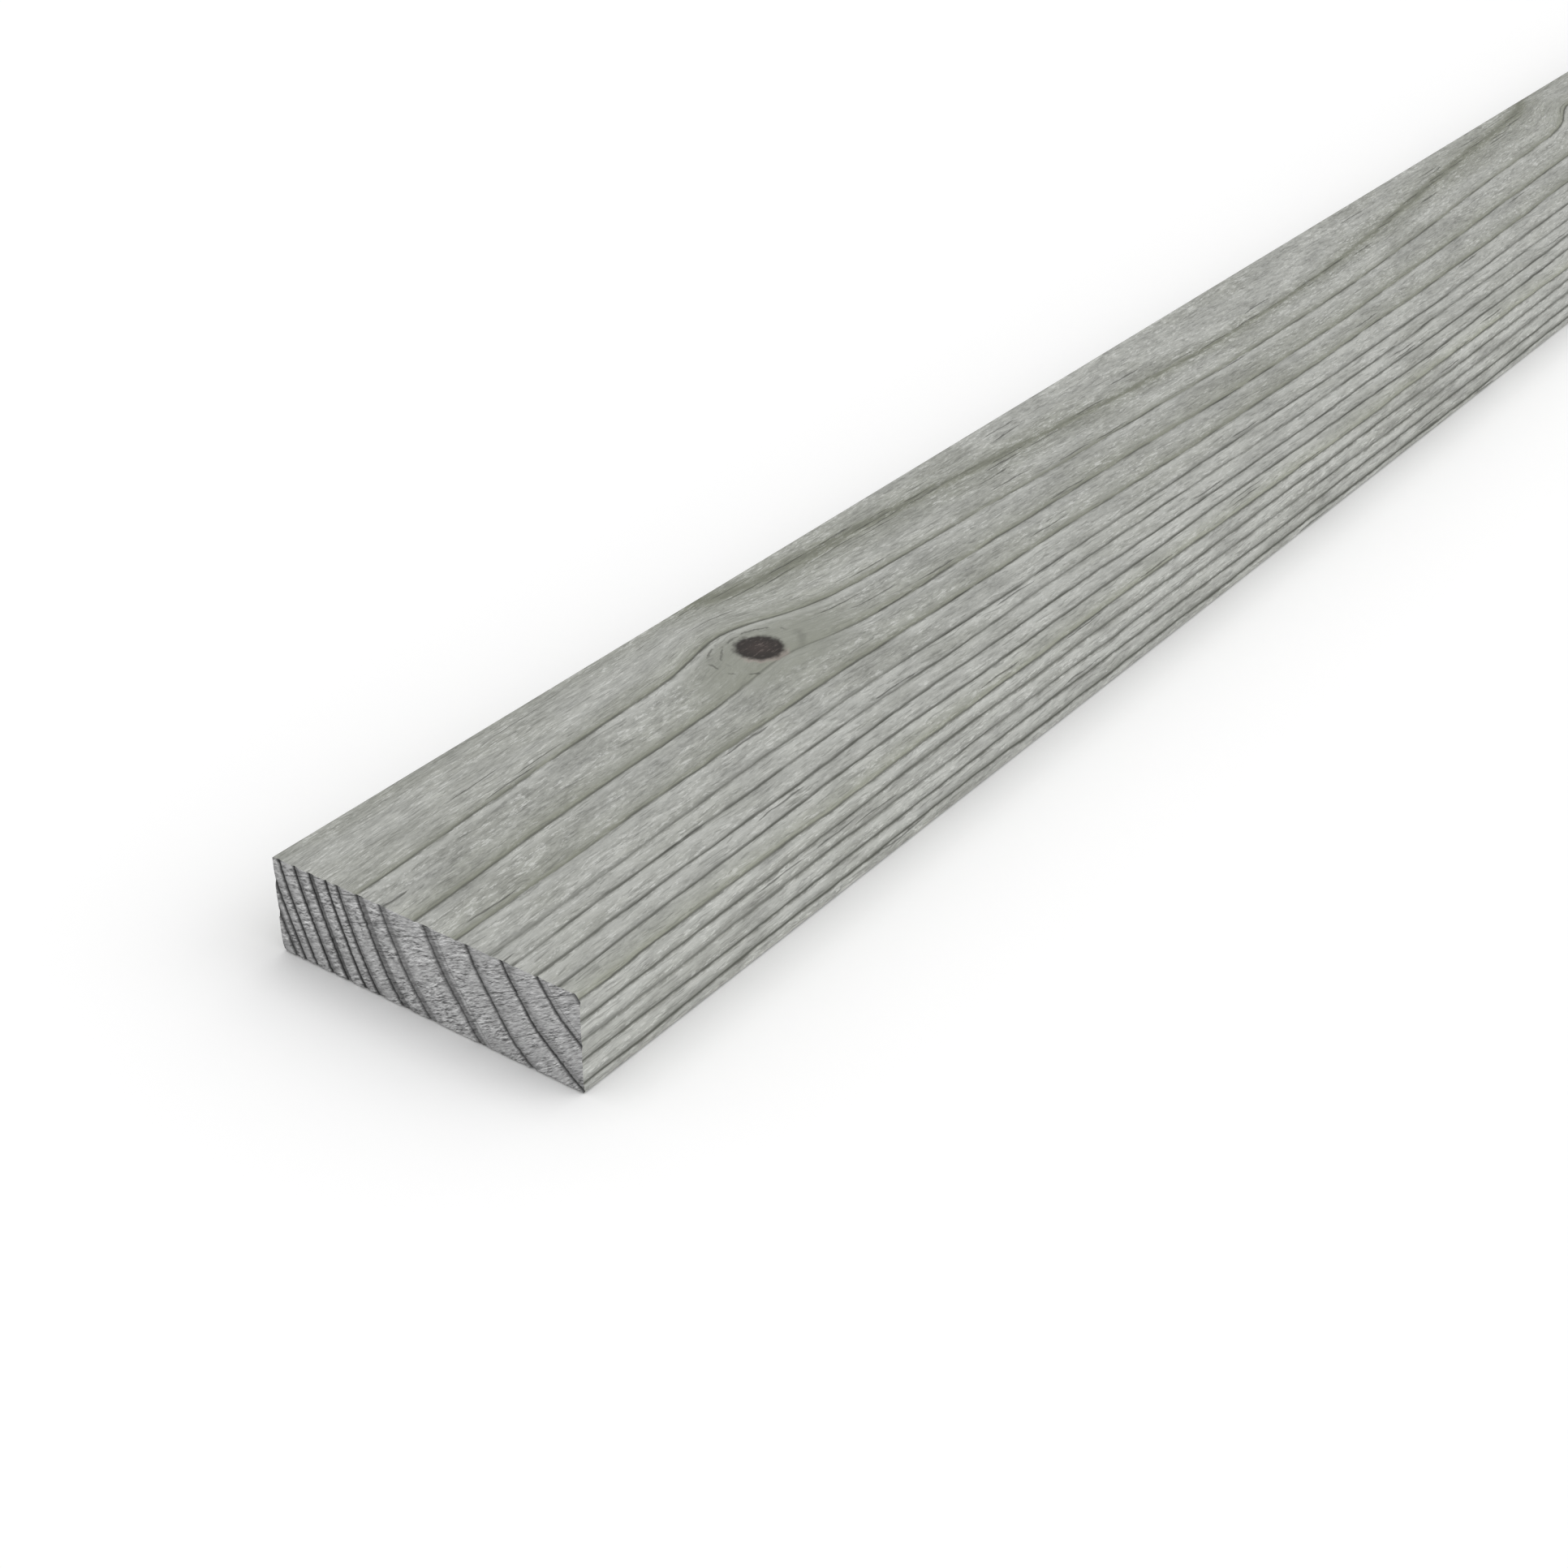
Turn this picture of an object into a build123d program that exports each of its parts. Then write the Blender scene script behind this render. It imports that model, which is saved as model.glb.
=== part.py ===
"""Timber batten: one length of softwood, cut to a flat rectangular section.

The batten lies on its wide face. X runs along the grain, Y across the wide face, Z up.
The origin is the middle of the underside.
"""

import os

from build123d import *

# Driving dimensions, in millimetres
length = 1800.0  # stock length between the two cross-cut ends
width = 70.0  # wide face
thickness = 20.0  # narrow edge
arris_radius = 0.5  # arrises that are only just broken
eased_arris_radius = 2.0  # the front upper arris, rounded over

# The batten: its section carried along the grain, half the length to each side
with BuildPart() as batten:
    with BuildSketch(Plane.YZ) as section:
        Rectangle(width, thickness, align=(Align.CENTER, Align.MIN))
        lower_corners, upper_corners = section.vertices().group_by(Axis.Y)
        back_upper_corner = upper_corners.sort_by(Axis.X)[-1]
        fillet([*lower_corners, back_upper_corner], radius=arris_radius)
        front_upper_corner = section.vertices().sort_by_distance((-width / 2, thickness))[0]
        fillet(front_upper_corner, radius=eased_arris_radius)
    extrude(amount=length / 2, both=True)

batten.part.label = "batten"

os.makedirs("parts", exist_ok=True)
export_step(batten.part, "parts/batten.step")
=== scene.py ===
import math

import bpy
import numpy as np
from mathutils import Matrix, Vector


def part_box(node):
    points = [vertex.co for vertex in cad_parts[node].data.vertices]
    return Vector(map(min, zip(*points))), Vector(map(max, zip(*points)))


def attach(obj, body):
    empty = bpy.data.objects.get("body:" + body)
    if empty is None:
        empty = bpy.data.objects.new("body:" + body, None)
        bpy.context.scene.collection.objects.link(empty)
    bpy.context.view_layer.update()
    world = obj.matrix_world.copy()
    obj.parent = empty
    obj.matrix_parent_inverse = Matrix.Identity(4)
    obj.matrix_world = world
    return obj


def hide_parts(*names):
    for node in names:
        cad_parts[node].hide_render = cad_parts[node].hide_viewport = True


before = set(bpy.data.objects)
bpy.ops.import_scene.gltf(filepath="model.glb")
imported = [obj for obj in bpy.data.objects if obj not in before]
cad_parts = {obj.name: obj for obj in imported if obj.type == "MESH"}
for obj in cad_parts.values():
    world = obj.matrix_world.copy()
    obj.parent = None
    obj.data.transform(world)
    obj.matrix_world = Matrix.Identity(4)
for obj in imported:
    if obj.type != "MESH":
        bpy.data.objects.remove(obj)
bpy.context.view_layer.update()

mm = 0.001
lowCorner, highCorner = (np.array(corner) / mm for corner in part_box("batten"))
length, width, thickness = highCorner - lowCorner
print("frame loaded, batten", length.round(1), width.round(1), thickness.round(1), "mm")


# section and grain of the stock, all in mm
stock = {
    "arrisRadii": (0.5, 2.0, 0.5, 0.5),  # back upper, front upper, front lower, back lower
    "wideColumns": 166,  # columns of the mesh across the top and across the underside
    "edgeColumns": 48,  # and down each narrow edge
    "columnSpread": 0.7,  # how far to each side of a line or arris the columns are closer
    "columnGain": (3.0, 4.8),  # how much closer they are on a line and on an arris
    "rows": 188,  # rows of the mesh along the length
    "rowSpread": 26.0,  # how far to each side of a knot or end the rows are closer
    "rowGain": (7.0, 9.8),  # how much closer they are at a knot and at an end
    "stillArris": 4.0,  # columns this near to an arris don't fully follow the grain
    "stillBack": 25.5,  # nor do those this near to the back of the top
    "grooveDepth": 0.16,  # along each grain line
    "cupDepth": 0.05,  # wear between the lines
    "swellDepth": 0.06,  # slow unevenness of the faces
    "knotDepth": 0.2,  # the ring round each knot
    "knotRing": (1.05, 0.1),  # radius and spread of that ring, in radii of the knot
    "arrisRelief": (0.5, 0.35),  # nearer than this to an arris the relief fades, down to this share
    "sharpAngle": 55.0,  # degrees between faces that meet in a sharp edge
}

# the walk round the section starts at the back upper arris and goes over the top, down the front edge,
# back along the underside and up the back edge
corners = np.cumsum([0.0, width, thickness, width, thickness])
around = corners[4]
backSide, frontSide = width / 2, -width / 2
cornerAcross = np.array([backSide, frontSide, frontSide, backSide, backSide])
cornerUp = np.array([thickness, thickness, 0.0, 0.0, thickness])


def sectionAt(walk):
    # place and outward normal at a distance round the section: straight along each face, and a quarter
    # circle in place of each arris, over which the normal turns at an even rate
    walk = np.mod(walk, around)
    across = np.interp(walk, corners, cornerAcross)
    up = np.interp(walk, corners, cornerUp)
    radii = np.array(stock["arrisRadii"])
    turnPlaces = np.stack([corners[1:4] - radii[1:], corners[1:4] + radii[1:]], -1).ravel()
    turnPlaces = np.concatenate([[radii[0]], turnPlaces, [around - radii[0], around + radii[0]]])
    quarters = np.array([1, 1, 2, 2, 3, 3, 4, 4, 5]) * math.pi / 2
    turn = np.interp(np.where(walk < radii[0], walk + around, walk), turnPlaces, quarters)
    for corner, radius, cornerY, cornerZ in zip(corners, radii, cornerAcross, cornerUp):
        gap = np.mod(walk - corner + around / 2, around) - around / 2
        onArris = np.abs(gap) < radius
        centreY = np.clip(cornerY, frontSide + radius, backSide - radius)
        centreZ = np.clip(cornerZ, radius, thickness - radius)
        across = np.where(onArris, centreY + radius * np.cos(turn), across)
        up = np.where(onArris, centreZ + radius * np.sin(turn), up)
    return across, up, np.cos(turn), np.sin(turn)


grain = {
    "wavePlaces": (0.0, 558.0, 1180.0, 1800.0),  # along the length
    "waves": (-0.2511, 1.0, 2.0, 2.75),  # slow waves of the grain passed at those places
    "sweep": (0.2, 4.1, 20.0, 28.0),  # of the wave: at the front, added at the back, fading from and over
    "swell": (125.0, 545.0, 15.0),  # from, to and ease of the stretch where the lines run further forward
    "step": (5.8, 25.5, 13.0),  # how much further at the back, fading from and over
    "under": (1.7, 830.0, 40.0),  # wave of the underside: sweep, length, and lag from line to line
    "underReach": (95.0, 15.0, 156.0, 12.0),  # from, ease, to, ease
    "wander": ((0.22, 27.0, 2.4), (0.14, 11.0, 1.3)),  # of each line: sweep, length and lag of two ripples
    "lift": 14.0,  # half length of the bend past a knot
    "liftEase": 9.0,  # over which the bend fades, at both sides of the part that leans
    "afterLine": 0.3,  # share of a ring that still takes the darkness of the line it starts from
}

# each knot: its place along, its place round the section, its radius, how far the lines lean past it,
# and the part of the section over which they lean
knots = (
    (111.6, 23.1, 5.0, 3.5, -9.0, 42.0),
    (558.0, 23.3, 4.6, 3.5, -9.0, 42.0),
    (917.0, 47.0, 3.3, 1.6, 24.0, 58.0),
    (1388.0, 19.5, 5.3, 3.4, -9.0, 38.0),
    (1641.0, 57.5, 2.0, 0.9, 44.0, 66.0),
    (1075.0, 80.0, 2.6, 0.8, 70.0, 89.0),
    (301.0, 121.0, 4.4, 2.4, 100.0, 142.0),
    (742.0, 139.0, 2.8, 1.2, 120.0, 156.0),
    (1236.0, 107.0, 5.0, 2.6, 92.0, 132.0),
)
besideKnots = {
    "reach": (6.4, 3.2),  # along and across, in radii of the knot
    "wider": 1.5,  # how much wider the late wood is there
    "darker": 0.4,  # and how much darker the lines are
}

# each line from the back of the top to the foot of the front edge: its place round the section, the
# width of the late wood that leads up to it, how pale the early wood before that is, and how dark the
# line itself is. On the top that paleness is the wood's own; the low values of the last four lines, on
# the front edge, are painted shade that darkens most of the front edge.
topLines = (
    (25.9, 2.2, -0.3, 0.8),
    (36.1, 3.2, -0.8, 0.8),
    (44.8, 2.8, -1.1, 0.85),
    (51.6, 1.5, -0.2, 0.85),
    (56.2, 0.8, 0.3, 0.85),
    (61.1, 0.9, 0.1, 0.95),
    (65.6, 0.9, 0.3, 0.95),
    (71.0, 3.2, 1.0, 0.95),
    # painted shade: the low tones of these four lines on the front edge darken the front edge
    (75.2, 1.7, -2.2, 0.95),
    (79.6, 1.4, -2.2, 0.9),
    (83.7, 1.2, -1.9, 1.0),
    (87.8, 1.7, -1.9, 1.05),
)
lineCount = len(topLines)  # the underside has as many

# the arc at the back of the top: a soft olive shade, which carries no sharp line
arcLine = {
    "place": 12.8,  # round the section
    "sweep": 7.1,  # how far the slow wave carries it to either side
    "step": 17.0,  # how much further back it lies outside the swell
    "swell": (112.0, 558.0, 15.0),  # from, to and ease
    "lowest": -6.0,
    "shade": 3.6,  # half width of the shade
    "taper": 1.9,  # how much narrower the shade is where the wave is forward
    "look": (0.6, -1.2, 0.0),  # late wood, early wood and line, as in the list above
}
# the lines of the underside follow these rings of the ends, and one line lies low on the back edge
underRings = slice(3, 15)
underLook = (1.6, -0.2, 0.85)
backLine = {
    "place": 167.5,
    "sway": (1.5, 140.0),  # to either side, and how slowly along
    "look": (2.4, -0.4, 0.7),
}
# where the rings turn back, at the foot of the front edge and on the back edge, there is no line
turnLooks = ((1.0, -0.3, 0.0), (1.0, -1.2, 0.0))

# each ring on the ends, from the pith outward: the radius of its line, how dark the line is, the width of
# the grey band inside it, how dark that is, and how far inside the line a second, faint line lies
endRings = (
    (33.0, 0.7, 0.6, 0.4, 9.0),
    (39.5, 0.7, 0.6, 0.4, 9.0),
    (46.0, 0.8, 0.6, 0.4, 1.5),
    (53.1, 0.95, 1.3, 0.42, 9.0),
    (60.3, 0.9, 0.8, 0.42, 9.0),
    (69.0, 0.82, 1.3, 0.55, 2.25),
    (78.4, 0.8, 1.4, 0.5, 9.0),
    (83.5, 0.88, 1.55, 0.6, 9.0),
    (88.2, 0.96, 0.9, 0.55, 9.0),
    (90.8, 0.97, 0.3, 0.4, 9.0),
    (94.7, 1.0, 1.0, 0.76, 9.0),
    (98.2, 1.0, 0.9, 0.55, 9.0),
    (101.8, 1.0, 0.5, 0.58, 9.0),
    (104.4, 0.95, 0.4, 0.58, 9.0),
    (106.6, 0.95, 0.7, 0.68, 9.0),
    (109.5, 0.9, 0.6, 0.5, 9.0),
)
ends = {
    "pith": (-65.4, 43.7),  # across and up, outside the section
    "ripple": (0.2, 0.1),  # unevenness of the rings, coarse and fine
    "recess": 0.3,  # depth of the late wood of each ring
    "shelf": 0.45,  # share of that depth in the grey band
    "ragged": 0.3,  # how far the lower edge is broken away
    "raggedHeight": 0.5,
    "reach": 1.2,  # how far along the sleeve the set-back fades
}


def bell(value, spread):
    return np.exp(-(value / spread) ** 2)


def plateau(value, start, stop, ease):
    # 1 between start and stop and 0 outside, eased by a hyperbolic tangent
    return (np.tanh((value - start) / ease) - np.tanh((value - stop) / ease)) / 2


def waveAt(along):
    return -np.cos(2 * math.pi * np.interp(along, grain["wavePlaces"], grain["waves"]))


def arcAt(along):
    # the arc rides on the slow wave, and steps back over the edge outside the swell
    place = arcLine["place"] + arcLine["sweep"] * waveAt(along)
    place = place - arcLine["step"] * (1 - plateau(along, *arcLine["swell"]))
    return np.maximum(place, arcLine["lowest"])


def driftAt(along, base):
    # how far a grain line lies off its base place: a slow wave and a step, both fading exponentially from
    # the back of the top to the front, a wave of its own on the underside, and a lift past each knot
    least, most, fadeFrom, fadeOver = grain["sweep"]
    sweep = least + most * np.exp(-(np.maximum(base, fadeFrom) - fadeFrom) / fadeOver)
    most, fadeFrom, fadeOver = grain["step"]
    step = most * np.exp(-(np.maximum(base, fadeFrom) - fadeFrom) / fadeOver)
    drift = sweep * waveAt(along) - step * (1 - plateau(along, *grain["swell"]))
    start, easeIn, stop, easeOut = grain["underReach"]
    under = np.clip((base - start) / easeIn, 0, 1) * np.clip((stop - base) / easeOut, 0, 1)
    sweep, waveLength, lag = grain["under"]
    drift = drift + sweep * under * np.sin(2 * math.pi * along / waveLength + base / lag)
    ease = grain["liftEase"]
    for place, _, _, lean, start, stop in knots:
        reach = np.clip((base - start) / ease, 0, 1) * np.clip((stop - base) / ease, 0, 1)
        drift = drift - lean * bell(along - place, grain["lift"]) * reach
    return drift


def linesAt(along):
    # the place of every line, row by row, in the order of the walk, each with a small wander of its own;
    # the first is the arc at the back of the top, which comes again at the end of the walk
    along = along[:, None]
    top = np.array([line[0] for line in topLines])[None, :]
    pithAcross, pithUp = ends["pith"]
    under = np.array([ring[0] for ring in endRings[underRings]])[None, :]
    under = corners[2] + np.maximum(np.sqrt(under ** 2 - pithUp ** 2) + pithAcross - frontSide, 1.0)
    base = np.concatenate([top, under], 1)
    number = np.arange(base.shape[1])[None, :]
    (slowSweep, slowLength, slowLag), (fastSweep, fastLength, fastLag) = grain["wander"]
    wander = slowSweep * np.sin(along / slowLength + slowLag * number)
    wander = wander + fastSweep * np.sin(along / fastLength + fastLag * number ** 2)
    line = base + driftAt(along, base) + wander
    arc = arcAt(along) + wander[:, :1]
    sway, swayLength = backLine["sway"]
    back = backLine["place"] + sway * np.sin(along / swayLength)
    front, below = line[:, :lineCount], line[:, lineCount:]
    turnFront = (front[:, -1:] + below[:, :1]) / 2
    turnBack = (back + arc + around) / 2
    return np.concatenate([arc, front, turnFront, below, back, turnBack, arc + around], 1)


# the ring number at each of those lines: it climbs to the foot of the front edge and falls along the
# underside
climb, fall = np.arange(lineCount + 1), np.arange(lineCount, -1, -1)
ringNumbers = np.concatenate([climb, [lineCount + 0.5], fall, [-0.5, 0]])
lineLooks = [arcLine["look"], *(line[1:] for line in topLines), turnLooks[0]]
lineLooks += [underLook] * lineCount + [backLine["look"], turnLooks[1]]
lateWidths, tones, darks = np.array(lineLooks).T


def ringsAt(along, walk):
    # ring number, ring width, and the late wood width, tone and darkness of its line at each place:
    # straight interpolation of the ring number between the two lines that the place lies between
    lines = linesAt(along)
    walk = np.where(walk < lines[:, :1], walk + around, walk)
    before = np.clip((walk[:, :, None] >= lines[:, None, :]).sum(2) - 1, 0, lines.shape[1] - 2)
    start = np.take_along_axis(lines, before, 1)
    stop = np.take_along_axis(lines, before + 1, 1)
    rise = ringNumbers[before + 1] - ringNumbers[before]
    number = ringNumbers[before] + rise * (walk - start) / (stop - start)
    led = np.mod(np.where(rise > 0, before + 1, before), len(lateWidths))
    started = np.mod(np.where(rise > 0, before, before + 1), len(lateWidths))
    share = number - np.floor(number)
    dark = np.where(share < grain["afterLine"], darks[started], darks[led])
    return number, (stop - start) / np.abs(rise), lateWidths[led], tones[led], dark


def endRingsAt(across, up):
    # ring number, counted outward from the pith, ring width, and the looks of the line it leads up to, at
    # a place on an end: the distance from the pith, with a small ripple, read against the list of radii
    pithAcross, pithUp = ends["pith"]
    coarse, fine = ends["ripple"]
    fromPith = np.hypot(across - pithAcross, up - pithUp)
    angle = np.arctan2(up - pithUp, across - pithAcross)
    fromPith = fromPith + coarse * np.sin(11 * angle + fromPith / 9) + fine * np.sin(29 * angle)
    rings = np.array(endRings)
    number = np.interp(fromPith, rings[:, 0], np.arange(len(rings)))
    inside = np.clip(number.astype(int), 0, len(rings) - 2)
    return number, np.diff(rings[:, 0])[inside], rings[inside + 1, 1:]


def lateWood(number, ringWidth, lead, tail):
    # 1 on a line: it builds up exponentially over the lead and drops off as a bell over the tail
    share = number - np.floor(number)
    return np.maximum(np.exp(-(1 - share) * ringWidth / lead), bell(share * ringWidth, tail))


def recessAt(across, up):
    # how far an end lies back from the saw cut: its late wood, the grey bands at a share of that with a
    # short slope, and a lower edge broken away by two sines that fade exponentially upward
    number, ringWidth, looks = endRingsAt(across, up)
    before = (1 - (number - np.floor(number))) * ringWidth
    shelf = ends["shelf"] * np.clip((looks[..., 1] + 0.5 - before) / 0.7, 0, 1)
    ragged = 0.5 + 0.25 * np.sin(across * 3.1) + 0.25 * np.sin(across * 7.3 + 1)
    late = np.maximum(lateWood(number, ringWidth, 0.4, 0.2), shelf)
    return ends["recess"] * late + ends["ragged"] * ragged * np.exp(-up / ends["raggedHeight"])


# the mesh: a sleeve of rows and columns, closed by a grid at each end
def spreadOut(start, stop, count, peaks, spread):
    # count + 1 places from start to stop, closer together round each peak: the even steps of a running
    # total of the wanted density
    fine = np.linspace(start, stop, 20001)
    density = 1 + sum(height * bell(fine - peak, spread) for peak, height in peaks)
    total = np.concatenate([[0], np.cumsum((density[1:] + density[:-1]) / 2)])
    return np.interp(np.linspace(0, total[-1], count + 1), total, fine)


def makeColumns():
    # places round the section, closest at the arrises and at the lines they carry
    above = [line[0] for line in topLines]
    below = linesAt(np.array([0.0]))[0, lineCount + 2:2 * lineCount + 3]
    onLine, onArris = stock["columnGain"]
    parts = []
    for side, count in enumerate([stock["wideColumns"], stock["edgeColumns"]] * 2):
        start, stop = corners[side], corners[side + 1]
        lines = above if side < 2 else below
        peaks = [(line, onLine) for line in lines if start < line < stop]
        peaks += [(start, onArris), (stop, onArris)]
        parts.append(spreadOut(start, stop, count, peaks, stock["columnSpread"])[:-1])
    return np.concatenate(parts)


columns = makeColumns()
atKnot, atEnd = stock["rowGain"]
rowPeaks = [(knot[0], atKnot) for knot in knots] + [(0.0, atEnd), (length, atEnd)]
rows = spreadOut(0, length, stock["rows"] - 1, rowPeaks, stock["rowSpread"])

# columns follow the grain across each face and hold still at the arrises
fromArris = np.abs(columns[:, None] - corners[None, :]).min(1)
follow = np.clip(fromArris / stock["stillArris"], 0, 1) * np.clip(columns / stock["stillBack"], 0, 1)
walk = columns[None, :] + driftAt(rows[:, None], columns[None, :]) * follow[None, :]
across, up, normalAcross, normalUp = sectionAt(walk)
along = np.broadcast_to(rows[:, None], walk.shape)

ringNumber, ringWidth, lateWidth, tone, lineDark = ringsAt(rows, walk)
knotGaps = np.stack([np.stack([along - k[0], walk - k[1]], -1) / k[2] for k in knots])
nearest = np.hypot(knotGaps[..., 0], knotGaps[..., 1]).argmin(0)
knotPlace = np.take_along_axis(knotGaps, nearest[None, :, :, None], 0)[0]
fromKnot = np.hypot(knotPlace[..., 0], knotPlace[..., 1])
reachAlong, reachAcross = besideKnots["reach"]
besideKnot = bell(np.hypot(knotPlace[..., 0] / reachAlong, knotPlace[..., 1] / reachAcross), 1)
lateWidth = lateWidth * (1 + besideKnots["wider"] * besideKnot)
lineDark = lineDark * (1 + besideKnots["darker"] * besideKnot)
knotNear = np.clip(4 - fromKnot / 2, 0, 1)  # 0 where the nearest knot changes from one to another
knotPlace[..., 0] *= np.where(nearest % 2, -1, 1)  # every other knot has its marks the other way round
arcGap = np.mod(walk - arcAt(rows)[:, None] + around / 2, around) - around / 2
arcGap = arcGap / (arcLine["shade"] - arcLine["taper"] * waveAt(rows)[:, None])
arcNear = np.clip(4 - np.abs(arcGap), 0, 1)  # 0 where the gap jumps from one sign to the other
arcGap = np.clip(arcGap, -3, 3)

# relief goes inward only: a groove on each line, shallower on a faint one, a shallow cup between lines,
# slow swells, and a ring just outside each knot, inside which the rest fades out; all of it is less at
# the arrises
groove = lateWood(ringNumber, ringWidth, 0.45, 0.22)
relief = stock["grooveDepth"] * groove * np.clip(lineDark / 0.75, 0.1, 1)
relief += stock["cupDepth"] * np.sin(math.pi * np.mod(ringNumber, 1)) ** 2
swell = np.sin(along / 61 + columns / 13) + np.sin(along / 143 - columns / 29 + 1)
swell = swell + np.sin(columns / 7.5 + 2)
relief += stock["swellDepth"] * (swell + 3) / 6
relief *= np.clip(fromKnot - 0.6, 0, 1)
ringRadius, ringSpread = stock["knotRing"]
relief += stock["knotDepth"] * bell(fromKnot - ringRadius, ringSpread)
reliefFade, reliefLeast = stock["arrisRelief"]
relief *= np.clip(fromArris / reliefFade, reliefLeast, 1)
across = across - relief * normalAcross
up = up - relief * normalUp

recess = recessAt(across, up)
fromEnd = np.minimum(along, length - along)
inward = recess * np.exp(-fromEnd / ends["reach"])
along = along + np.where(along < length / 2, inward, -inward)
sleeve = np.stack([along, across, up], -1)


def closeEnd(rim):
    # a grid stretched over one end: the four sides of the rim blended straight across both ways, less the
    # blend of its four corners
    wide, edge = stock["wideColumns"], stock["edgeColumns"]
    top = rim[:wide + 1]
    front = rim[wide:wide + edge + 1]
    under = rim[wide + edge:2 * wide + edge + 1][::-1]
    back = np.concatenate([rim[2 * wide + edge:], rim[:1]])[::-1]
    u = np.linspace(0, 1, wide + 1)[None, :, None]
    v = np.linspace(0, 1, edge + 1)[:, None, None]
    sides = (1 - v) * top[None] + v * under[None] + (1 - u) * back[:, None] + u * front[:, None]
    square = (1 - u) * ((1 - v) * top[0] + v * under[0]) + u * ((1 - v) * top[-1] + v * under[-1])
    return sides - square


def rimNumbers(first):
    # vertex numbers round a closing grid, from the row of the sleeve that starts at first
    wide, edge = stock["wideColumns"], stock["edgeColumns"]
    ring = first + np.concatenate([np.arange(len(columns)), [0]])
    numbers = np.zeros((edge + 1, wide + 1), int)
    numbers[0] = ring[:wide + 1]
    numbers[:, -1] = ring[wide:wide + edge + 1]
    numbers[-1] = ring[wide + edge:2 * wide + edge + 1][::-1]
    numbers[:, 0] = ring[2 * wide + edge:][::-1]
    return numbers


def cells(table):
    # the four corners of every cell of a table, in the order in which the face looks outward
    return np.stack([table[:-1, :-1], table[:-1, 1:], table[1:, 1:], table[1:, :-1]], -1).reshape(-1, 4)


rowCount, columnCount = walk.shape
sleeveNumbers = np.arange(rowCount * columnCount).reshape(rowCount, columnCount)
sleeveNumbers = np.concatenate([sleeveNumbers, sleeveNumbers[:, :1]], 1)

capPoints, capNumbers = [], []
nextNumber = rowCount * columnCount
for row, inwardSign, cutPlace in ((0, 1, 0.0), (rowCount - 1, -1, length)):
    grid = closeEnd(sleeve[row])
    grid[..., 0] = cutPlace + inwardSign * recessAt(grid[..., 1], grid[..., 2])
    numbers = rimNumbers(row * columnCount)
    inside = grid[1:-1, 1:-1]
    numbers[1:-1, 1:-1] = nextNumber + np.arange(inside[..., 0].size).reshape(inside.shape[:2])
    nextNumber += inside[..., 0].size
    capPoints.append(inside.reshape(-1, 3))
    capNumbers.append(numbers)

points = np.concatenate([sleeve.reshape(-1, 3)] + capPoints)
faces = np.concatenate([cells(sleeveNumbers), cells(capNumbers[0].T), cells(capNumbers[1])])
longFaces = len(cells(sleeveNumbers))

# one flat map of the surface: the sleeve opened out above, the two ends side by side below; along
# the length it gives more room to the knots, as the rows do
flatMap = {
    "sleeve": ((0.004, 0.17), (0.992, 0.826)),  # lower left corner, and width and height
    "ends": (((0.004, 0.004), (0.492, 0.158)), ((0.504, 0.004), (0.492, 0.158))),
}
rowRoom = 0.5 * rows / length + 0.5 * np.linspace(0, 1, rowCount)
columnRoom = np.concatenate([columns, [around]]) / around
sleeveMap = np.stack(np.broadcast_arrays(rowRoom[:, None], columnRoom[None, :]), -1)
mapCorner, mapSize = flatMap["sleeve"]
sleeveMap = np.array(mapCorner) + sleeveMap * np.array(mapSize)
capMaps = []
for numbers, (mapCorner, mapSize) in zip(capNumbers, flatMap["ends"]):
    capMap = np.stack([(backSide - points[numbers, 1]) / width, points[numbers, 2] / thickness], -1)
    capMaps.append(np.array(mapCorner) + capMap * np.array(mapSize))
mapParts = (sleeveMap, capMaps[0].transpose(1, 0, 2), capMaps[1])
mapU = np.concatenate([cells(part[..., 0]) for part in mapParts])
mapV = np.concatenate([cells(part[..., 1]) for part in mapParts])

mesh = bpy.data.meshes.new("battenTimber")
placed = (points + np.array([lowCorner[0], 0, lowCorner[2]])) * mm
mesh.from_pydata(placed.tolist(), [], faces.tolist())
mesh.polygons.foreach_set("material_index", (np.arange(len(faces)) >= longFaces).astype(np.int32))
mesh.polygons.foreach_set("use_smooth", np.ones(len(faces), bool))
mesh.uv_layers.new(name="OFBake").data.foreach_set("uv", np.stack([mapU, mapV], -1).ravel())


def addAttribute(name, values, size=1):
    # one number or one vector for every vertex; what is given for the sleeve alone is 0 inside the ends
    values = values.reshape(-1, size)
    filled = np.zeros((len(points), size), np.float32)
    filled[:len(values)] = values
    kind, field = ("FLOAT", "value") if size == 1 else ("FLOAT_VECTOR", "vector")
    mesh.attributes.new(name, kind, "POINT").data.foreach_set(field, filled.ravel())


baseAcross, baseUp, _, _ = sectionAt(columns)
grainPlace = np.stack(np.broadcast_arrays(rows[:, None], baseAcross[None, :], baseUp[None, :]), -1)
endNumber, endWidth, endLooks = endRingsAt(points[:, 1], points[:, 2])
addAttribute("ring", ringNumber)
addAttribute("ringWidth", ringWidth)
addAttribute("lateWidth", lateWidth)
addAttribute("tone", tone)
addAttribute("lineDark", lineDark)
addAttribute("grain", grainPlace, 3)
addAttribute("knotPlace", np.concatenate([knotPlace, nearest[..., None]], -1), 3)
addAttribute("knotNear", knotNear)
addAttribute("arcGap", arcGap)
addAttribute("arcNear", arcNear)
addAttribute("endRing", endNumber)
addAttribute("endRingWidth", endWidth)
addAttribute("endLine", endLooks[:, :3], 3)
addAttribute("endTwin", endLooks[:, 3])
mesh.set_sharp_from_angle(angle=math.radians(stock["sharpAngle"]))
mesh.validate()
batten = bpy.data.objects.new("battenTimber", mesh)
bpy.context.scene.collection.objects.link(batten)
print("batten mesh:", len(points), "vertices,", 2 * len(faces), "triangles")


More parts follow.
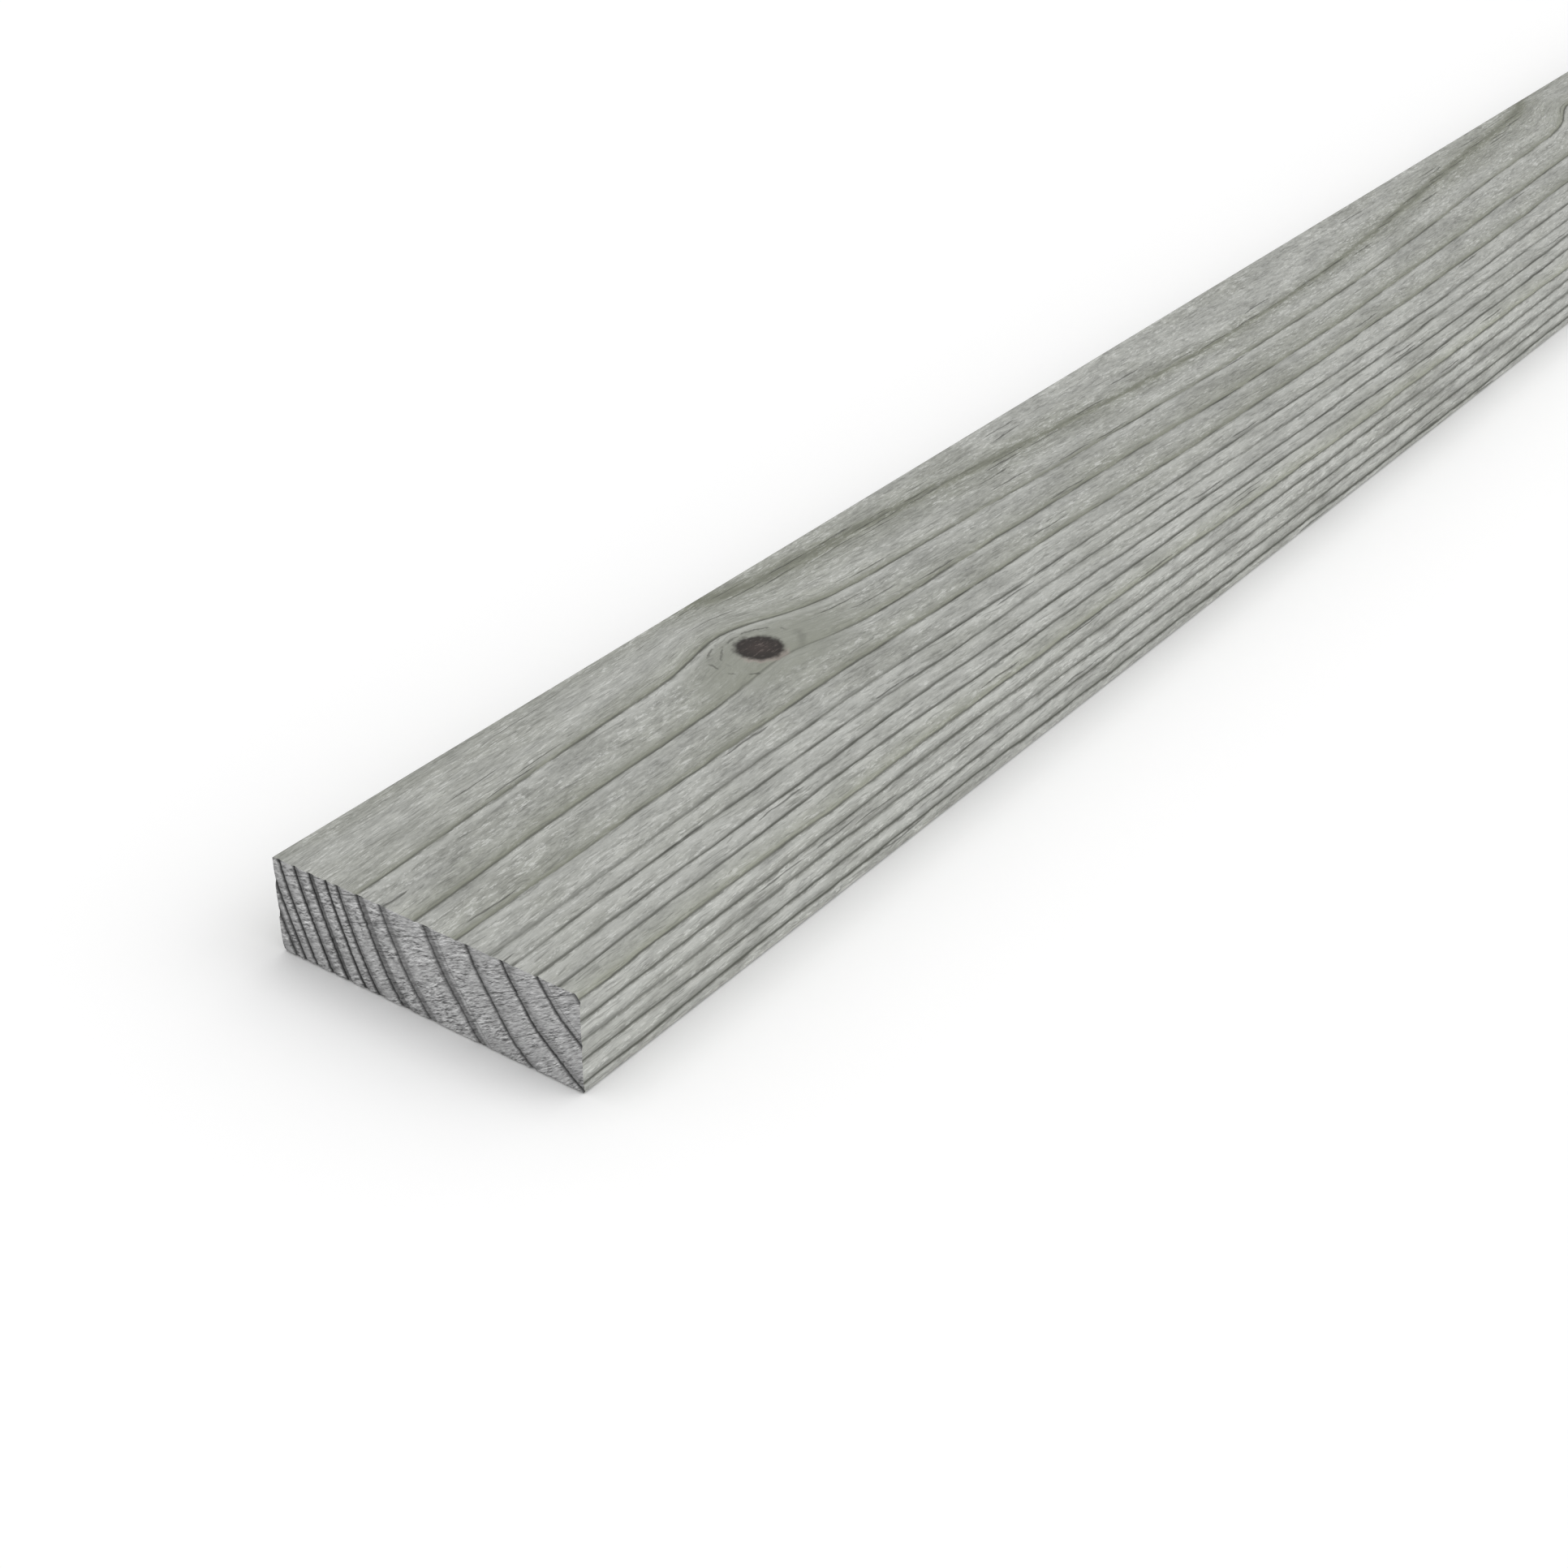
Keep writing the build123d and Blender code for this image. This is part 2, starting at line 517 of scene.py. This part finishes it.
class Wire:
    # one socket of a shader tree: sums on wires add Math nodes, and node() adds any other node
    def __init__(self, tree, socket=None):
        self.tree = tree
        self.socket = socket

    def node(self, kind, settings=None, sockets=None, output=0):
        made = self.tree.nodes.new("ShaderNode" + kind)
        for name, value in (settings or {}).items():
            setattr(made, name, value)
        for name, value in (sockets or {}).items():
            if isinstance(value, Wire):
                self.tree.links.new(value.socket, made.inputs[name])
            else:
                made.inputs[name].default_value = value
        return Wire(self.tree, made.outputs[output] if len(made.outputs) else None)

    def maths(self, operation, *values):
        return self.node("Math", {"operation": operation}, dict(enumerate(values)))

    def __add__(self, other):
        return self.maths("ADD", self, other)

    def __radd__(self, other):
        return self.maths("ADD", other, self)

    def __sub__(self, other):
        return self.maths("SUBTRACT", self, other)

    def __rsub__(self, other):
        return self.maths("SUBTRACT", other, self)

    def __mul__(self, other):
        return self.maths("MULTIPLY", self, other)

    def __rmul__(self, other):
        return self.maths("MULTIPLY", other, self)

    def __truediv__(self, other):
        return self.maths("DIVIDE", self, other)

    def __rtruediv__(self, other):
        return self.maths("DIVIDE", other, self)

    def __abs__(self):
        return self.maths("ABSOLUTE", self)


def paint(red, green, blue):
    # a colour as a picture shows it, 0 to 255, turned into the light it stands for
    return tuple(((value / 255 + 0.055) / 1.055) ** 2.4 for value in (red, green, blue)) + (1.0,)


def larger(first, second):
    return first.maths("MAXIMUM", first, second)


def axis(vector, name):
    return vector.node("SeparateXYZ", {}, {0: vector}, name)


def read(start, name, output="Fac"):
    # what the mesh carries under that name
    return start.node("Attribute", {"attribute_name": name}, {}, output)


def ease(value, low, high):
    # a smooth step from 0 at low to 1 at high
    sockets = {"Value": value, "From Min": low, "From Max": high}
    return value.node("MapRange", {"interpolation_type": "SMOOTHSTEP"}, sockets)


def mixed(amount, first, second):
    return amount.node("Mix", {"data_type": "RGBA"}, {0: amount, 6: first, 7: second}, 2)


def scaled(colour, amount):
    return amount.node("VectorMath", {"operation": "SCALE"}, {0: colour, "Scale": amount})


def noise(place, size, detail=2.0, rough=0.5, shift=0.0):
    # cloudy noise about one size long in each direction, 0 to 1
    scale = tuple(1 / side for side in size)
    moved = place.node("Mapping", {}, {"Vector": place, "Location": (shift,) * 3, "Scale": scale})
    sockets = {"Vector": moved, "Scale": 1.0, "Detail": detail, "Roughness": rough}
    return place.node("TexNoise", {}, sockets)


def startMaterial(name):
    material = bpy.data.materials.new(name)
    material.use_nodes = True
    material.node_tree.nodes.clear()
    return material, Wire(material.node_tree)


def finishMaterial(start, colour, roughness, height, depth, strength):
    # a matt surface with a bump whose height is given as a share of depth
    normal = start.node("Bump", {}, {"Strength": strength, "Distance": depth * mm, "Height": height})
    sockets = {"Base Color": colour, "Roughness": roughness, "Normal": normal, "Specular IOR Level": 0.25}
    surface = start.node("BsdfPrincipled", {}, sockets)
    start.node("OutputMaterial", {}, {"Surface": surface})


def chance(along, across=0.0):
    # an even random number, 0 to 1, for each whole pair of numbers
    cell = along.node("CombineXYZ", {}, {"X": along.maths("FLOOR", along), "Y": across})
    return along.node("TexWhiteNoise", {"noise_dimensions": "2D"}, {"Vector": cell}, "Value")


def hairlines(along, across, zone, lane, run, thin):
    # fine cracks along the grain: each lane is cut into runs, each run holds a crack or not by chance,
    # which zone sets, and a crack tapers from thin at its middle to nothing at its ends
    laneShare = across / lane
    laneNumber = across.maths("FLOOR", laneShare)
    runShare = along / run + chance(laneNumber) * 9
    there = across.maths("LESS_THAN", chance(runShare, laneNumber), zone)
    fromMiddle = abs(across.maths("FRACT", laneShare) - 0.5) * lane
    fromEnd = 1 - abs(across.maths("FRACT", runShare) * 2 - 1)
    return ease(fromMiddle, ease(fromEnd, 0.0, 0.6) * thin + 0.001, 0.0) * there


longLook = {
    "early": paint(162, 163, 158),
    "pale": paint(179, 180, 175),
    "olive": paint(152, 153, 146),
    # also the colour of the painted highlight just after each line
    "fleck": paint(211, 212, 208),
    "late": paint(134, 135, 130),
    "lateOlive": paint(136, 138, 124),
    "line": paint(88, 89, 83),
    "tick": paint(104, 105, 100),
    "crack": paint(70, 70, 66),
    "arc": paint(134, 136, 123),
    "knotHeart": paint(64, 57, 55),
    "knotEdge": paint(54, 50, 48),
    "knotPale": paint(104, 95, 91),
    "knotPink": paint(166, 151, 146),
    "halo": paint(147, 149, 139),
    # sizes of the marks along, across and down the grain, in mm
    "felt": (5, 0.9, 0.9),
    "sway": (11, 2.2, 2.2),
    "thick": (16, 2.5, 2.5),
    "broken": (19, 3, 3),
    "cloud": (30, 9, 9),
    "patch": (17, 5, 5),
    "streak": (24, 0.6, 0.6),
    "bend": (10, 4, 4),
    "flecks": (2.8, 0.6, 1),
    "ticks": (6, 0.5, 1),
    "cracks": (1.4, 17.0, 0.34),  # lane, run and thickness
    # sizes of the marks on and round a knot, in radii of the knot
    "fray": (0.5, 0.35, 0.5),
    "gate": (0.7, 0.7, 0.7),
    "grit": (0.5, 0.16, 0.5),
    # how much of each colour is laid on
    "paleMix": 0.7,
    "oliveMix": 0.55,
    "lateMix": 0.85,
    "leadMix": 0.45,
    "haloMix": 0.75,
    "fleckMix": 0.62,
    # the painted highlight just after each line
    "paintedHighlightMix": 0.36,
    "tickMix": 0.4,
    "arcMix": 0.4,
    "arcLineMix": 0.25,
    "hookMix": 0.3,
    "pinkMix": 0.5,
    "gritMix": 0.7,
    "crackMix": 0.75,
    "collarMix": 0.55,
    "crackShare": (0.45, 0.07, 0.03),  # of runs with a crack: in the arc's shade, in late wood, elsewhere
    "bump": (0.14, 0.5),  # depth in mm, and strength
}


def makeLongGrain():
    # weathered faces along the grain: pale felted early wood that darkens slowly up to each line and
    # starts again sharply after it, with pale flecks and fine dark ticks along the fibre, hairline cracks,
    # and dark knots
    material, start = startMaterial("longGrain")
    look = longLook

    fibre = read(start, "grain", "Vector")
    along = axis(fibre, "X")
    across = axis(fibre, "Y") + axis(fibre, "Z")
    ringWide = read(start, "ringWidth")
    lineDark = read(start, "lineDark")

    knotPlace = read(start, "knotPlace", "Vector")
    knotAlong = axis(knotPlace, "X")
    knotAcross = axis(knotPlace, "Y")
    frayed = (noise(knotPlace, look["fray"], 2, 0.7) - 0.5) * 0.45
    fromKnot = start.maths("SQRT", knotAlong * knotAlong + knotAcross * knotAcross)
    lower = knotAcross - 0.6
    stretched = start.maths("SQRT", knotAlong * knotAlong * 0.22 + lower * lower)
    knotNear = read(start, "knotNear")
    insideKnot = ease(fromKnot + frayed, 1.21, 0.83) * knotNear
    halo = ease(stretched + frayed, 2.9, 1.1) * knotNear

    # ring share, bent by the fibre, and from it the late wood and the line itself, which the arc only
    # hints at
    felt = noise(fibre, look["felt"], 3, 0.9, 4.1) - 0.5
    sway = noise(fibre, look["sway"], 2, 0.6) - 0.5
    share = start.maths("FRACT", read(start, "ring") + (sway * 0.8 + felt * 0.4) / ringWide)
    before = (1 - share) * ringWide
    after = share * ringWide
    lateWide = read(start, "lateWidth")
    late = ease(before, lateWide, 0.0)
    thick = 0.05 + 1.1 * noise(fibre, look["thick"], 3, 0.65, 3.1)
    core = larger(ease(before, thick, 0.1), ease(after, 0.45, 0.0))
    broken = ease(noise(fibre, look["broken"], 1, 0.6, 8.2), 0.34, 0.6)
    core = core * lineDark * larger(broken, ease(lineDark, 0.72, 1.05)) * (1 - halo * 0.6)
    arcGap = abs(read(start, "arcGap") + sway * 0.5 + felt * 0.4)
    arcGap = arcGap + (1 - read(start, "arcNear")) * 3
    arcShade = ease(arcGap, 1.0, 0.0)
    core = larger(core, ease(arcGap, 0.4, 0.0) * look["arcLineMix"])

    # clouds, patches and streaks, and the flecks, ticks and a painted highlight on the pale side just
    # after each line, which late wood, knots and the arc hold back
    cloud = noise(fibre, look["cloud"], 2, 0.55, 5.3)
    patch = noise(fibre, look["patch"], 2, 0.55, 9.7)
    streak = noise(fibre, look["streak"], 2, 0.6, 1.9) - 0.5
    bare = (1 - late * 0.7) * (1 - halo * 0.8) * (1 - arcShade * 0.4)
    bend = (noise(fibre, look["bend"], 1, 0.5, 6.4) - 0.5) * 1.6
    matted = start.node("CombineXYZ", {}, {"X": along, "Y": across + bend})
    fleckNoise = noise(matted, look["flecks"], 3, 0.8, 7.7)
    tickNoise = noise(matted, look["ticks"], 2, 0.6, 2.3)
    fleck = ease(fleckNoise, 0.51, 0.64) * (0.4 + 0.6 * ease(patch, 0.42, 0.56)) * bare
    # edge: a painted highlight on the pale side just after each line, where the edge of its groove would
    # catch light
    edge = ease(after, 0.3, 0.9) * ease(after, 3.2, 1.3)
    edge = edge * (0.35 + 0.65 * ease(patch, 0.36, 0.58)) * bare * lineDark
    tick = ease(tickNoise, 0.59, 0.64) * (1 - halo * 0.6)

    # hairline cracks in the shade of the arc and in late wood, and the marks that the fibre makes round a
    # knot: thin ovals that stop and start over it and beside it, and a hook past it
    inShade, inLate, elsewhere = look["crackShare"]
    zone = arcShade * inShade + ease(late, 0.3, 0.8) * inLate + elsewhere
    crack = hairlines(along, across + sway * 1.4 + felt * 0.5, zone, *look["cracks"])
    gate = noise(knotPlace, look["gate"], 1, 0.6, 2.2)
    oval = start.maths("SQRT", knotAlong * knotAlong * 0.277 + knotAcross * knotAcross * 0.592)
    oval = oval + frayed * 0.5
    over = ease(abs(oval - 1.0), 0.05, 0.012) * ease(knotAcross, 0.1, -0.4)
    beside = ease(abs(oval - 1.3), 0.05, 0.012) * ease(knotAlong, -0.4, -1.0)
    collar = larger(over * ease(gate, 0.36, 0.5), beside * ease(gate, 0.6, 0.5)) * knotNear
    hook = ease(abs(oval - 1.12), 0.2, 0.0) * ease(knotAlong, 0.5, 1.2) * knotNear
    core = larger(core, hook * ease(knotAcross, 0.0, 0.5) * look["hookMix"])

    # the colours, laid on one over another
    middle = ease(share, 0.25, 0.75) * ease(before, 0.3, 2.0)
    colour = mixed(middle * look["paleMix"], look["early"], look["pale"])
    colour = mixed(ease(cloud, 0.46, 0.62) * look["oliveMix"], colour, look["olive"])
    olive = ease(lateWide, 1.4, 2.6)
    lateColour = mixed(olive, look["late"], look["lateOlive"])
    lead = ease(before, lateWide * 2.4, 0.0) * olive * look["leadMix"]
    colour = mixed(larger(late * look["lateMix"], lead), colour, lateColour)
    colour = mixed(halo * look["haloMix"], colour, look["halo"])
    colour = mixed(larger(arcShade, ease(arcGap, 2.6, 0.4) * look["arcMix"]), colour, look["arc"])
    shade = 0.985 + streak * 0.25 + (felt * 1.3 + patch * 0.5 - 0.25) * bare
    # the tone: the wood's own paleness on the top, and painted shade that darkens the front edge
    colour = scaled(colour, shade + read(start, "tone") * 0.05)
    # the flecks, and the painted highlight just after each line
    colour = mixed(larger(fleck * look["fleckMix"], edge * look["paintedHighlightMix"]), colour, look["fleck"])
    colour = mixed(tick * look["tickMix"], colour, look["tick"])
    colour = mixed(core, colour, look["line"])
    pink = ease(knotAlong * -0.5 + knotAcross * 0.85, 0.2, 0.9)
    pink = pink * ease(fromKnot + frayed, 1.35, 1.1) * knotNear
    colour = mixed(pink * look["pinkMix"], colour, look["knotPink"])
    heart = mixed(ease(fromKnot, 0.2, 0.75), look["knotHeart"], look["knotEdge"])
    grit = ease(noise(knotPlace, look["grit"], 3, 0.7, 6.1), 0.52, 0.66)
    heart = mixed(grit * look["gritMix"] * ease(fromKnot, 0.95, 0.5), heart, look["knotPale"])
    colour = mixed(insideKnot, colour, heart)
    colour = mixed(larger(crack * look["crackMix"], collar * look["collarMix"]), colour, look["crack"])

    height = fleckNoise * 0.6 + felt * 1.5 + streak * 0.4
    roughness = 0.86 - fleck * 0.1 + late * 0.04
    finishMaterial(start, colour, roughness, height, *look["bump"])
    return material


endLook = {
    "early": paint(165, 165, 165),
    "line": paint(36, 36, 36),
    "check": paint(62, 62, 62),
    "focus": (-105.0, 60.0),  # where the rays point, across and up, in mm
    "turn": 110.0,  # mm across the rays for one radian
    # sizes of the marks along and across the rays, in mm
    "fuzz": (1.6, 0.8, 1),
    "pores": (0.5, 0.4, 1),
    "grit": (1.5, 0.45, 1),
    "rough": (5, 3, 1),
    "below": (0.05, -0.2),  # step from which the grit is read again, for painted shade on one side of each dash and a painted highlight on the other
    "checks": (2.3, 18.0, 0.12),  # lane, run and thickness
    "checkShare": 0.34,  # of runs with a check
    "checkMix": 0.75,
    "poreRing": 7.0,  # the one ring that shows a row of pores
    "poreMix": 0.6,
    "rampMix": 0.3,
    "twinMix": 0.4,
    "bump": (0.18, 0.6),  # depth in mm, and strength
}


def makeEndGrain():
    # sawn ends: rings about the pith, each a sharp dark line on its outer side with a grey band inside it,
    # dashes drawn out along the rays, each with painted shade on one side and a painted highlight on the
    # other, and checks that run along the rays
    material, start = startMaterial("endGrain")
    look = endLook

    place = start.node("TexCoord", {}, {}, "Object")
    across = axis(place, "Y") / mm - look["focus"][0]
    up = axis(place, "Z") / mm - look["focus"][1]
    outward = start.maths("SQRT", across * across + up * up)
    angle = start.maths("ARCTAN2", up, across) * look["turn"]
    rays = start.node("CombineXYZ", {}, {"X": outward, "Y": angle})
    stepOut, stepRound = look["below"]
    # the rays a step away, read again for the painted shade and highlight of the dashes
    raysBelow = start.node("CombineXYZ", {}, {"X": outward + stepOut, "Y": angle + stepRound})

    ringWide = read(start, "endRingWidth")
    line = read(start, "endLine", "Vector")
    lineDark = axis(line, "X")
    bandWide = axis(line, "Y")
    bandDark = axis(line, "Z")
    fuzz = noise(rays, look["fuzz"], 3, 0.6) - 0.5
    number = read(start, "endRing") + fuzz * 0.5 / ringWide
    share = start.maths("FRACT", number)
    before = (1 - share) * ringWide
    after = share * ringWide
    core = larger(ease(before, 0.8, 0.0), ease(after, 0.65, 0.0)) * lineDark
    band = ease(before - bandWide, 0.5, -0.2) * bandDark
    ramp = ease(before - bandWide, 1.8, -0.4) * look["rampMix"]
    twin = ease(abs(before - read(start, "endTwin")), 0.35, 0.0) * look["twinMix"]
    dark = larger(core, larger(larger(band, ramp), twin))
    pore = ease(noise(rays, look["pores"], 0, 0.5, 6.6), 0.54, 0.62)
    poreRow = ease(abs(after - 1.8), 0.6, 0.2) * ease(angle, -45.0, -41.0)
    poreRow = poreRow * start.maths("COMPARE", start.maths("FLOOR", number), look["poreRing"], 0.1)
    dark = larger(larger(dark + fuzz * 0.3, 0.0), pore * poreRow * look["poreMix"])

    grit = noise(rays, look["grit"], 3, 0.6, 4.4) - 0.5
    # painted relief: the grit less the same grit a step away, which paints shade on one side of each dash
    # and a highlight on the other
    paintedRelief = grit - noise(raysBelow, look["grit"], 3, 0.6, 4.4) + 0.5
    check = hairlines(outward, angle + fuzz * 0.6, look["checkShare"], *look["checks"])
    rough = 0.7 + 0.6 * ease(noise(rays, look["rough"], 2, 0.5, 1.7), 0.38, 0.62)
    # the colour is scaled by the painted relief and by the end grain's own grit
    shade = 1 + (paintedRelief * 1.3 + grit * 2.7) * rough * (1 - dark * 0.6)

    colour = scaled(look["early"][:3], larger(shade, 0.3))
    colour = mixed(dark, colour, look["line"])
    colour = mixed(check * look["checkMix"], colour, look["check"])
    height = 0.5 + grit - dark * 0.2 - check * 0.6
    finishMaterial(start, colour, 0.9, height, *look["bump"])
    return material


mesh.materials.append(makeLongGrain())
mesh.materials.append(makeEndGrain())
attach(batten, "root")
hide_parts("batten")
print("finishes: long grain and end grain")


studio = {
    "dome": 0.9,  # light from all round
    "lean": 0.22,  # how much more of it comes from the side of the key lamp
    "key": 0.5,  # soft lamp, front right of the picture
    "keyHeading": -65.0,  # degrees from +X
    "keyHeight": 35.0,  # degrees above the floor
    "keySize": 45.0,  # degrees across
    "keyPlace": (0.6, -0.8, 0.8),
    "floorSize": 30.0,
    "floorDrop": 0.0002,  # below the underside, so that the two faces don't meet
    "floorWhite": 1.0,
    "floorLift": 0.03,  # what the camera sees added, so that the open floor is white
    "paintedContactShadow": 0.32,  # painted shadow: how much darker the floor is painted right where the object meets it
    # how far from the object the painted shadow reaches
    "paintedShadowReach": 0.012,
}

floorMesh = bpy.data.meshes.new("floor")
half = studio["floorSize"] / 2
floorCorners = [(-half, -half, 0), (half, -half, 0), (half, half, 0), (-half, half, 0)]
floorMesh.from_pydata(floorCorners, [], [(0, 1, 2, 3)])
floor = bpy.data.objects.new("floor", floorMesh)
floor.location.z = -studio["floorDrop"]
bpy.context.scene.collection.objects.link(floor)
floorMaterial, floorStart = startMaterial("floorWhite")
white = (studio["floorWhite"],) * 3 + (1.0,)
lift = floorStart.node("LightPath", {}, {}, "Is Camera Ray") * studio["floorLift"]
glow = floorStart.node("Emission", {}, {"Color": (1, 1, 1, 1), "Strength": lift})
# painted contact shadow: ambient occlusion darkens the floor's colour near the object, on top of the
# shadows the lamps cast
openness = floorStart.node("AmbientOcclusion", {"samples": 8}, {"Distance": studio["paintedShadowReach"]}, "AO")
shadow = (studio["floorWhite"] * (1 - studio["paintedContactShadow"]),) * 3 + (1.0,)
matt = floorStart.node("BsdfDiffuse", {}, {"Color": mixed(openness, shadow, white)})
floorStart.node("OutputMaterial", {}, {"Surface": floorStart.node("AddShader", {}, {0: matt, 1: glow})})
floorMesh.materials.append(floorMaterial)

world = bpy.data.worlds.new("studio")
bpy.context.scene.world = world
world.use_nodes = True
world.node_tree.nodes.clear()
sky = Wire(world.node_tree)
seen = sky.node("LightPath", {}, {}, "Is Camera Ray")
keyHeading = math.radians(studio["keyHeading"])
keySide = (math.cos(keyHeading), math.sin(keyHeading), 0)
direction = sky.node("TexCoord", {}, {}, "Generated")
towardKey = sky.node("VectorMath", {"operation": "DOT_PRODUCT"}, {0: direction, 1: keySide}, "Value")
strength = (1 + towardKey * studio["lean"]) * studio["dome"] * (1 - seen) + seen
background = sky.node("Background", {}, {"Color": (1, 1, 1, 1), "Strength": strength})
sky.node("OutputWorld", {}, {"Surface": background})

lampData = bpy.data.lights.new("key", "SUN")
lampData.energy = studio["key"]
lampData.angle = math.radians(studio["keySize"])
lamp = bpy.data.objects.new("key", lampData)
lamp.rotation_euler = (math.radians(90 - studio["keyHeight"]), 0, keyHeading + math.radians(90))
lamp.location = studio["keyPlace"]
bpy.context.scene.collection.objects.link(lamp)

viewpoint = {
    "place": (-1.15196, -0.25991, 0.26548),
    "pitch": 31.437,  # degrees below the horizon
    "heading": 36.160,  # degrees from +X toward +Y
    "lens": 59.196,
    "sensor": 36.0,
    "nearest": 0.01,
}
cameraData = bpy.data.cameras.new("camera")
cameraData.lens = viewpoint["lens"]
cameraData.sensor_width = viewpoint["sensor"]
cameraData.clip_start = viewpoint["nearest"]
camera = bpy.data.objects.new("camera", cameraData)
camera.location = viewpoint["place"]
tilt, turn = math.radians(90 - viewpoint["pitch"]), math.radians(viewpoint["heading"] - 90)
camera.rotation_euler = (tilt, 0, turn)
bpy.context.scene.collection.objects.link(camera)
bpy.context.scene.camera = camera
bpy.context.scene.view_settings.view_transform = "Standard"
print("floor, light and camera placed")
